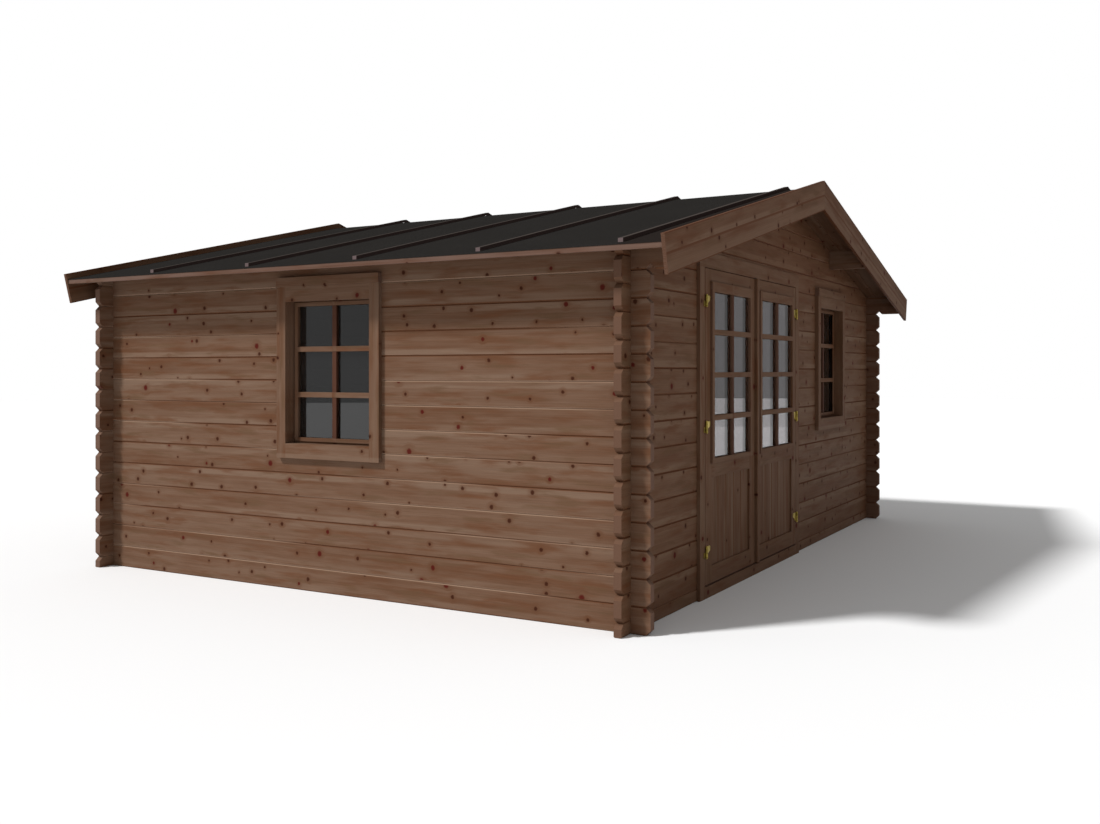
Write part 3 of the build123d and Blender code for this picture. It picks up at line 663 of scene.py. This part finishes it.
# glazed tops of the door leaves: planted frame with level bars in front, an upright set back, a second pane behind
doorBars = {
    "paneInset": 0.1165,  # from the leaf's edge to the glass that shows
    "border": 0.036, "below": 0.030, "above": 0.060,
    "paneLow": 0.823, "paneHigh": 1.816,
    "upright": 0.032, "level": 0.032, "setBack": 0.002,
    "columns": 2, "rows": 4, "proud": 0.0145, "clear": 0.0004, "easing": 0.0015,
    "tenon": 0.004, "lap": 0.0005,  # how far the upright and the layers behind run on past the panes
    "slimEasing": 0.0006, "gapEasing": 0.0004, "roomEasing": 0.0025, "roomShy": 0.001,
    "paneGap": 0.005, "paneThick": 0.004, "paneEasing": 0.0005,
}
for side in ("left", "right"):
    low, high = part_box(side + "_door_stiles")
    glassLow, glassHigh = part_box(side + "_door_glass")
    inset, border, clear, lap, tenon = (doorBars[key] for key in ("paneInset", "border", "clear", "lap", "tenon"))
    footZ, topZ = doorBars["paneLow"], doorBars["paneHigh"]
    panesAcross = cutsFor(low.x + inset, high.x - inset, doorBars["columns"], doorBars["upright"])
    panesUp = cutsFor(footZ, topZ, doorBars["rows"], doorBars["level"])
    outerLeft, outerRight = low.x + inset - border, high.x - inset + border
    front = low.y - doorBars["proud"]
    innerFront = glassHigh.y + doorBars["paneGap"]
    innerBack = innerFront + doorBars["paneThick"]
    planted = lattice(side + "Planted", [outerLeft, panesAcross[0], panesAcross[-1], outerRight],
                      [footZ - doorBars["below"]] + panesUp + [topZ + doorBars["above"]],
                      front, doorBars["proud"], doorBars["easing"])
    middle = block(side + "Middle", (panesAcross[1], front + doorBars["setBack"], footZ - tenon),
                   (panesAcross[2], glassLow.y - clear, topZ + tenon))
    ease(middle, doorBars["easing"])
    layers = [planted, middle]
    for layer, layerFront, depth, easing in (
            ("Behind", low.y, glassLow.y - low.y - clear, doorBars["slimEasing"]),
            ("Between", glassHigh.y + clear, doorBars["paneGap"] - 2 * clear, doorBars["gapEasing"]),
            ("Inside", innerBack + clear, high.y - innerBack - clear - doorBars["roomShy"], doorBars["roomEasing"])):
        layers.append(lattice(side + layer, [glassLow.x] + panesAcross + [glassHigh.x],
                              [glassLow.z - lap] + panesUp + [glassHigh.z + lap], layerFront, depth, easing))
    grid = weldTogether(side + "DoorBars", layers)
    uprights = [(outerLeft, panesAcross[0]), (panesAcross[1], panesAcross[2]), (panesAcross[-1], outerRight)]
    # the set-back upright is darkened with painted shade
    finish = pineFinish(side + "DoorBarWood", dict(
        grain="xzy", tone="joinery", seed=26.0 + len(side), knotShare=0.2, uprights=("x", uprights, aboveAll),
        dim=("x",) + uprights[1] + (front + doorBars["setBack"] / 2,)))
    install(grid, finish, "joinery", side + "_door")
    pane = block(side + "InnerPane", (glassLow.x + clear, innerFront, glassLow.z + clear),
                 (glassHigh.x - clear, innerBack, glassHigh.z - clear))
    ease(pane, doorBars["paneEasing"], 1)
    install(pane, glassFinish["innerPane"], "glass", side + "_door")
print("door bars and inner panes made")

# matchboarded lower panels
straight = 0.9  # an edge counts as lying along an axis from here on
doorPanels = {"boards": 5, "vee": 0.0045, "frontSkin": 0.001}
for side in ("left", "right"):
    low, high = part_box(side + "_door_panel")
    width = (high.x - low.x) / doorPanels["boards"]
    board = block(side + "DoorBoards", low, (low.x + width, high.y, high.z))
    pick(board, "EDGE", lambda middle, way: abs(way.z) > straight and middle.y < low.y + doorPanels["frontSkin"])
    bpy.ops.mesh.bevel(offset=doorPanels["vee"], segments=1, affect="EDGES")
    bpy.ops.object.mode_set(mode="OBJECT")
    repeat(board, doorPanels["boards"], (width, 0, 0))
    finish = pineFinish(side + "PanelBoards", dict(
        grain="zxy", tone="joinery", course=width, start=low.x, seed=50.0 + len(side), knotShare=0.4))
    install(board, finish, "joinery", side + "_door", side + "_door_panel")
print("door panels made")

# brass flags on the leaves, with turned tips above and below each barrel
hinges = {
    "levels": (0.2756, 1.0125, 1.7569), "barrel": 0.008, "reach": 0.0332,
    "flagStart": 0.004, "flagTop": 0.0325,
    "flag": [(0.066, 0.004), (0.030, -0.010), (0.022, -0.027)],  # widths, narrowing downwards
    "rounding": 0.009, "roundingSteps": 4, "thick": 0.0036, "easing": 0.0007,
    "footFind": 0.0001, "cornerFind": 0.0005, "flatAngle": 2,  # how the flag's edges and corners are found
    "tip": [(0.0080, 0.0), (0.0084, 0.0008), (0.0056, 0.0016), (0.0048, 0.0024), (0.0058, 0.0036), (0.0044, 0.0050),
            (0.0014, 0.0056)],  # radius and height of each ring
    "tipSides": 20, "smoothAngle": 35,
    "screws": [(0.056, 0.022), (0.030, 0.022), (0.016, -0.018)], "screwHead": 0.0042, "screwProud": 0.0009,
    "screwSides": 16, "faceFind": 0.9, "dishInset": 0.35, "dishDeep": 0.7,  # shares of a head's radius and height
}


def turnedTip(name, middle, way):  # lathe-turned end, way is up or down
    calm()
    rings = hinges["tip"]
    bpy.ops.mesh.primitive_circle_add(vertices=hinges["tipSides"], radius=rings[0][0], fill_type="NGON",
                                      location=middle)
    piece = called(name)
    settle(piece)
    bpy.ops.object.mode_set(mode="EDIT")
    bpy.ops.mesh.select_all(action="SELECT")
    for (thick, height), (nextThick, nextHeight) in zip(rings, rings[1:]):
        bpy.ops.mesh.extrude_region_move(TRANSFORM_OT_translate={"value": (0, 0, way * (nextHeight - height))})
        ratio = nextThick / thick
        bpy.ops.transform.resize(value=(ratio, ratio, 1), center_override=middle)
    bpy.ops.object.mode_set(mode="OBJECT")
    outwards(piece)
    hold(piece)
    bpy.ops.object.shade_smooth_by_angle(angle=math.radians(hinges["smoothAngle"]))
    return piece


def leafFlag(name, axisX, front, level, way):  # way is +1 where the leaf lies to the right
    near, top = axisX + way * hinges["flagStart"], level + hinges["flagTop"]
    steps = hinges["flag"]
    sides = sorted((near, near + way * steps[0][0]))
    piece = facingPlane(name, (sides[0], level + steps[0][1]), (sides[1], top), front)
    pick(piece, "EDGE", lambda middle, run: middle.z < level + steps[0][1] + hinges["footFind"])
    for (width, foot), (nextWidth, nextFoot) in zip(steps, steps[1:]):
        bpy.ops.mesh.extrude_region_move(TRANSFORM_OT_translate={"value": (0, 0, nextFoot - foot)})
        bpy.ops.transform.resize(value=(nextWidth / width, 1, 1), center_override=(near, front, level))
    bpy.ops.mesh.select_all(action="SELECT")
    bpy.ops.mesh.dissolve_limited(angle_limit=math.radians(hinges["flatAngle"]))
    corners = [Vector((near + way * width, front, level + foot)) for width, foot in steps]
    corners.append(Vector((near + way * steps[0][0], front, top)))
    pick(piece, "VERT", lambda point: any((point - corner).length < hinges["cornerFind"] for corner in corners))
    bpy.ops.mesh.bevel(offset=hinges["rounding"], segments=hinges["roundingSteps"], affect="VERTICES")
    bpy.ops.object.mode_set(mode="OBJECT")
    outwards(piece)
    finishWith(piece, "SOLIDIFY", thickness=hinges["thick"], offset=0.0)
    outwards(piece)
    ease(piece, hinges["easing"])
    return piece


def screwHead(name, middle):  # dished head lying on a flag, facing -Y
    calm()
    head, proud = hinges["screwHead"], hinges["screwProud"]
    bpy.ops.mesh.primitive_cylinder_add(vertices=hinges["screwSides"], radius=head, depth=proud * 2, location=middle,
                                        rotation=(math.pi / 2, 0, 0))
    piece = called(name)
    settle(piece)
    pick(piece, "FACE", lambda spot: spot.y < middle[1] - proud * hinges["faceFind"])
    bpy.ops.mesh.inset(thickness=head * hinges["dishInset"])
    bpy.ops.transform.translate(value=(0, proud * hinges["dishDeep"], 0))
    bpy.ops.object.mode_set(mode="OBJECT")
    return piece


lowerTips = []
for side, way in (("left", 1), ("right", -1)):
    low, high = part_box(side + "_door_hinge_knuckles")
    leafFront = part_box(side + "_door_stiles")[0].y
    axisX = low.x + hinges["barrel"] if way > 0 else high.x - hinges["barrel"]
    axisY = low.y + hinges["barrel"]
    plate = leafFront - hinges["thick"] / 2
    parts = []
    for level in hinges["levels"]:
        parts.append(leafFlag("flag", axisX, plate, level, way))
        parts.append(turnedTip("tip", (axisX, axisY, level + hinges["reach"]), 1))
        parts += [screwHead("screw", (axisX + way * x, plate - hinges["thick"] / 2, level + z))
                  for x, z in hinges["screws"]]
        lowerTips.append(turnedTip("tip", (axisX, axisY, level - hinges["reach"]), -1))
    install(weldTogether(side + "DoorFlags", parts), brassFinish["polishedBrass"], "brass", side + "_door")
install(weldTogether("hingeTips", lowerTips), brassFinish["polishedBrass"], "brass", "shed")
print("hinge flags made")

# window bars, made as those of the doors
windowBars = {"border": 0.024, "bar": 0.032, "columns": 2, "rows": 3, "proud": 0.0105, "setBack": 0.003,
              "clear": 0.0004, "easing": 0.0020, "tenon": 0.004, "lap": 0.0005, "slimEasing": 0.0006}


def windowGrid(name, paneLow, paneHigh, zLow, zHigh, front, glassFront):
    border, proud, lap, tenon = (windowBars[key] for key in ("border", "proud", "lap", "tenon"))
    glassSide = glassFront - windowBars["clear"]
    across = cutsFor(paneLow, paneHigh, windowBars["columns"], windowBars["bar"])
    up = cutsFor(zLow, zHigh, windowBars["rows"], windowBars["bar"])
    planted = lattice(name + "Planted", [paneLow - border, paneLow, paneHigh, paneHigh + border],
                      [zLow - border] + up + [zHigh + border], front - proud, proud, windowBars["easing"])
    middle = block(name + "Middle", (across[1], front - proud + windowBars["setBack"], zLow - tenon),
                   (across[2], glassSide, zHigh + tenon))
    ease(middle, windowBars["easing"])
    bars = lattice(name + "Behind", [paneLow - lap] + across + [paneHigh + lap], [zLow - lap] + up + [zHigh + lap],
                   front, glassFront - front - windowBars["clear"], windowBars["slimEasing"])
    return weldTogether(name, [planted, middle, bars])


low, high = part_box("front_window_glass")
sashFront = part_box("front_window_sash")[0].y
grid = windowGrid("frontWindowBars", low.x, high.x, low.z, high.z, sashFront, low.y)
install(grid, boardFinish["frontWindowSash"], "joinery", "shed")

low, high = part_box("side_window_glass")
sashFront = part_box("side_window_sash")[0].x
grid = windowGrid("sideWindowBars", -high.y, -low.y, low.z, high.z, sashFront, low.x)
grid.rotation_euler.z = -math.pi / 2  # now faces -X
settle(grid)
install(grid, boardFinish["sideWindowSash"], "joinery", "shed")
print("window bars made")

# roof boards, ridge to eave, with V joints seen from below
roofBoards = {"count": 46, "vee": 0.0035, "thick": 0.018}
rise = math.tan(math.radians(roofSlope))
thick = roofBoards["thick"] / math.cos(math.radians(roofSlope))
for side, sign in (("left", -1), ("right", 1)):
    low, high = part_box(side + "_roof_boards")
    near, far = (abs(high.x), abs(low.x)) if sign < 0 else (low.x, high.x)
    peak = low.z + far * rise + thick  # top of the boards, carried up to the ridge line
    step = (high.y - low.y) / roofBoards["count"]
    top = peak - near * rise
    board = block(side + "RoofBoards", (near, low.y, top - thick), (far, low.y + step, top))
    pick(board, "VERT", lambda spot: spot.x > (near + far) / 2)
    bpy.ops.transform.translate(value=(0, 0, -(far - near) * rise))
    bpy.ops.mesh.select_all(action="SELECT")
    bpy.ops.mesh.bisect(plane_co=(0, 0, high.z), plane_no=(0, 0, 1), clear_outer=True, use_fill=True)
    pick(board, "EDGE", lambda middle, way: (abs(way.x) > straight
                                             and middle.z < low.z + (far - middle.x) * rise + thick / 2))
    bpy.ops.mesh.bevel(offset=roofBoards["vee"], segments=1, affect="EDGES")
    bpy.ops.object.mode_set(mode="OBJECT")
    if sign < 0:
        board.scale.x = -1
        settle(board)
        outwards(board)
    repeat(board, roofBoards["count"], (0, step, 0))
    # the soffit boards are darkened to 0.8: painted shade under the eaves
    finish = pineFinish(side + "Soffit", dict(
        grain="xyz", tone="joinery", shade=0.8, slope=-sign * roofSlope, course=step, start=low.y, seed=60.0 + sign))
    install(board, finish, "inner_board", "shed", side + "_roof_boards")
print("roof boards made")

# felt folded down over the outer edge of both eaves
feltFold = {"thick": 0.0025, "foot": 1.9612, "top": 1.9653, "easing": 0.0011}
folds = []
low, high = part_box("roof_felt")
for inner, outer in ((low.x, low.x - feltFold["thick"]), (high.x, high.x + feltFold["thick"])):
    sides = sorted((inner, outer))
    fold = block("fold", (sides[0], low.y, feltFold["foot"]), (sides[1], high.y, feltFold["top"]))
    ease(fold, feltFold["easing"])
    folds.append(fold)
install(weldTogether("eaveFeltFolds", folds), feltFinish, "felt", "shed")
print("felt folds made")

# floor boards along the room, cut round the door frame
floorBoards = {"count": 45, "easing": 0.0022, "doorLow": -1.6278, "doorHigh": 0.3218, "doorBack": -1.8507}
low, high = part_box("floor_boards")
step = (high.x - low.x) / floorBoards["count"]
runs = []
for index in range(floorBoards["count"]):
    start, end = low.x + index * step, low.x + (index + 1) * step
    inDoor = end > floorBoards["doorLow"] and start < floorBoards["doorHigh"]
    front = floorBoards["doorBack"] if inDoor else low.y
    runs.append(block("floorBoard", (start, front, low.z), (end, high.y, high.z)))
boards = weldTogether("roomFloor", runs)
ease(boards, floorBoards["easing"], 1)
finish = pineFinish("floorPine", dict(grain="yxz", tone="inner", course=step, start=low.x, seed=83.0))
install(boards, finish, "inner_board", "shed", "floor_boards")
print("floor boards made")
